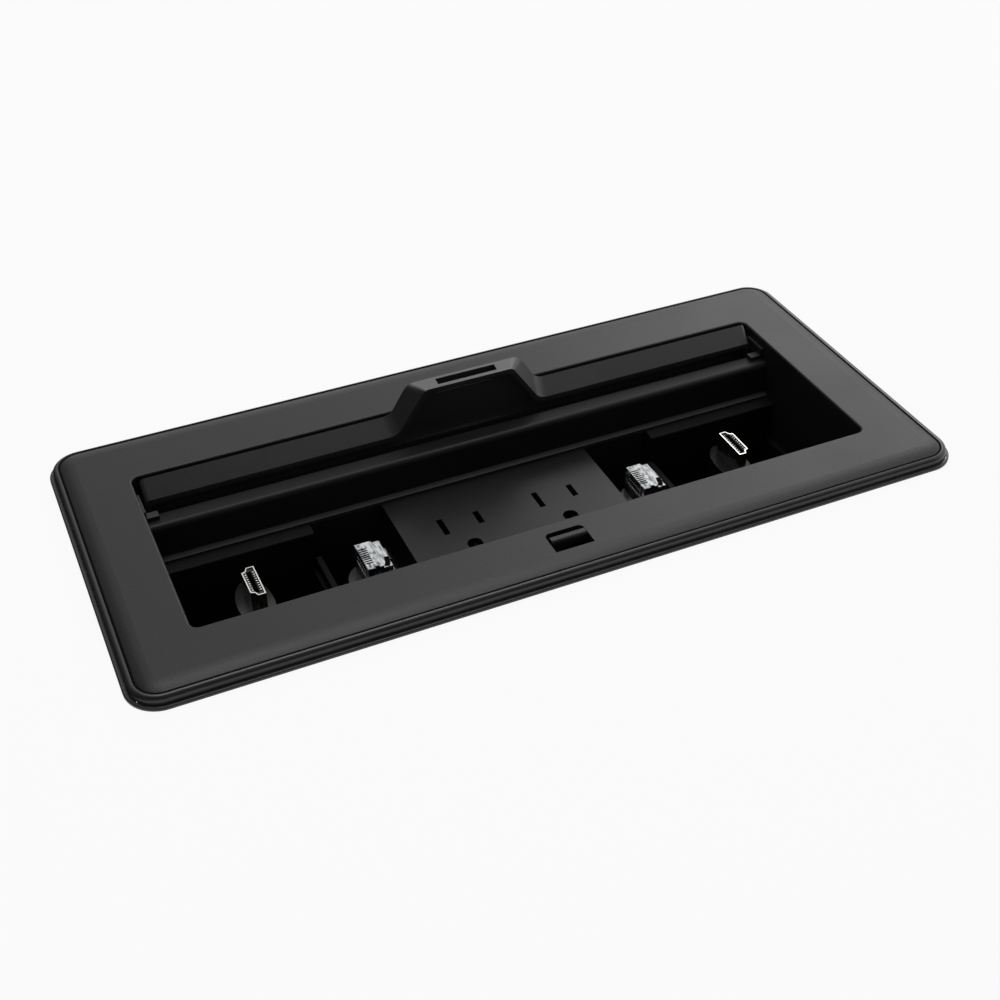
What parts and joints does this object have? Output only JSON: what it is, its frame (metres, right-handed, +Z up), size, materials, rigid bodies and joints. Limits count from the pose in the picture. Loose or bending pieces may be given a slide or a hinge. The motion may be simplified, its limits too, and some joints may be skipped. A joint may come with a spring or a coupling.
{
  "type": "in-desk power module",
  "caption": "Flush rectangular power module for a desk top: sunken socket outlets between bays for video and network cable ends, with a tabbed lid that stows upright behind them.",
  "frame": {"origin": "centre of the flange's underside, which is the level of the table top", "axes": "+X along the module, +Y away from the user towards the lid, +Z up out of the table"},
  "size_m": [0.276, 0.1238, 0.1292],
  "materials": {
    "bezel_plastic": "black ABS with a fine moulded grain",
    "trim_enamel": "satin black enamel on cast metal",
    "black_sheet": "black powder coat on steel sheet",
    "liner_plastic": "matt black ABS",
    "outlet_plastic": "matt black polycarbonate",
    "contact_brass": "bright rolled brass",
    "gilt_contacts": "gold-plated phosphor bronze",
    "cup_plastic": "matt black nylon",
    "nickel_shell": "nickel-plated steel",
    "insert_plastic": "matt black nylon",
    "boot_plastic": "black moulded vinyl with a slight gloss",
    "clear_plastic": "clear polycarbonate",
    "lid_plastic": "black ABS with a fine moulded grain",
    "zinc_steel": "bright zinc plate",
    "black_rubber": "matt black rubber"
  },
  "bodies": {
    "housing": {"bezel_plate": "bezel_plastic", "trim_ring": "trim_enamel", "enclosure": "black_sheet", "bottom_cover": "black_sheet", "liner": "liner_plastic", "bridge": "liner_plastic", "bay_floor": "liner_plastic", "video_frame_left": "liner_plastic", "video_frame_right": "liner_plastic", "outlet_plate": "outlet_plastic", "outlet_body": "outlet_plastic", "line_contacts": "contact_brass", "neutral_contacts": "contact_brass", "ground_contacts": "contact_brass", "network_contacts_left": "gilt_contacts", "network_contacts_right": "gilt_contacts", "video_cup_left": "cup_plastic", "video_cup_right": "cup_plastic", "network_cup_left": "cup_plastic", "network_cup_right": "cup_plastic", "video_plug_shell_left": "nickel_shell", "video_plug_shell_right": "nickel_shell", "video_plug_insert_left": "insert_plastic", "video_plug_insert_right": "insert_plastic", "video_boot_left": "boot_plastic", "video_boot_right": "boot_plastic", "network_boot_left": "boot_plastic", "network_boot_right": "boot_plastic", "network_plug_left": "clear_plastic", "network_plug_right": "clear_plastic", "lid_buffers": "black_rubber", "lid_guide_left": "liner_plastic", "lid_guide_right": "liner_plastic", "lid_stop_left": "black_sheet", "lid_stop_right": "black_sheet", "latch_housing": "liner_plastic", "latch_spring": "zinc_steel", "table_bracket_left": "zinc_steel", "table_bracket_right": "zinc_steel", "bracket_screws": "zinc_steel", "flange_screws": "zinc_steel", "cover_screws": "zinc_steel", "power_inlet": "outlet_plastic", "inlet_pins": "nickel_shell", "mains_cover": "black_sheet", "cable_grommet_left": "black_rubber", "cable_grommet_right": "black_rubber"},
    "lid": {"lid_shell": "lid_plastic", "lid_panel": "lid_plastic", "lid_pins": "zinc_steel"},
    "latch": {"latch_hook": "bezel_plastic"}
  },
  "joints": [
    {"name": "lid_lift", "type": "slide", "parent": "housing", "child": "lid", "axis": [0, 0, 1], "range_m": [0, 0.054]},
    {"name": "latch_slide", "type": "slide", "parent": "housing", "child": "latch", "axis": [0, -1, 0], "range_m": [0, 0.002], "stiffness_N_per_m": 600, "springref_m": -0.002, "deforming": ["latch_spring"]}
  ]
}
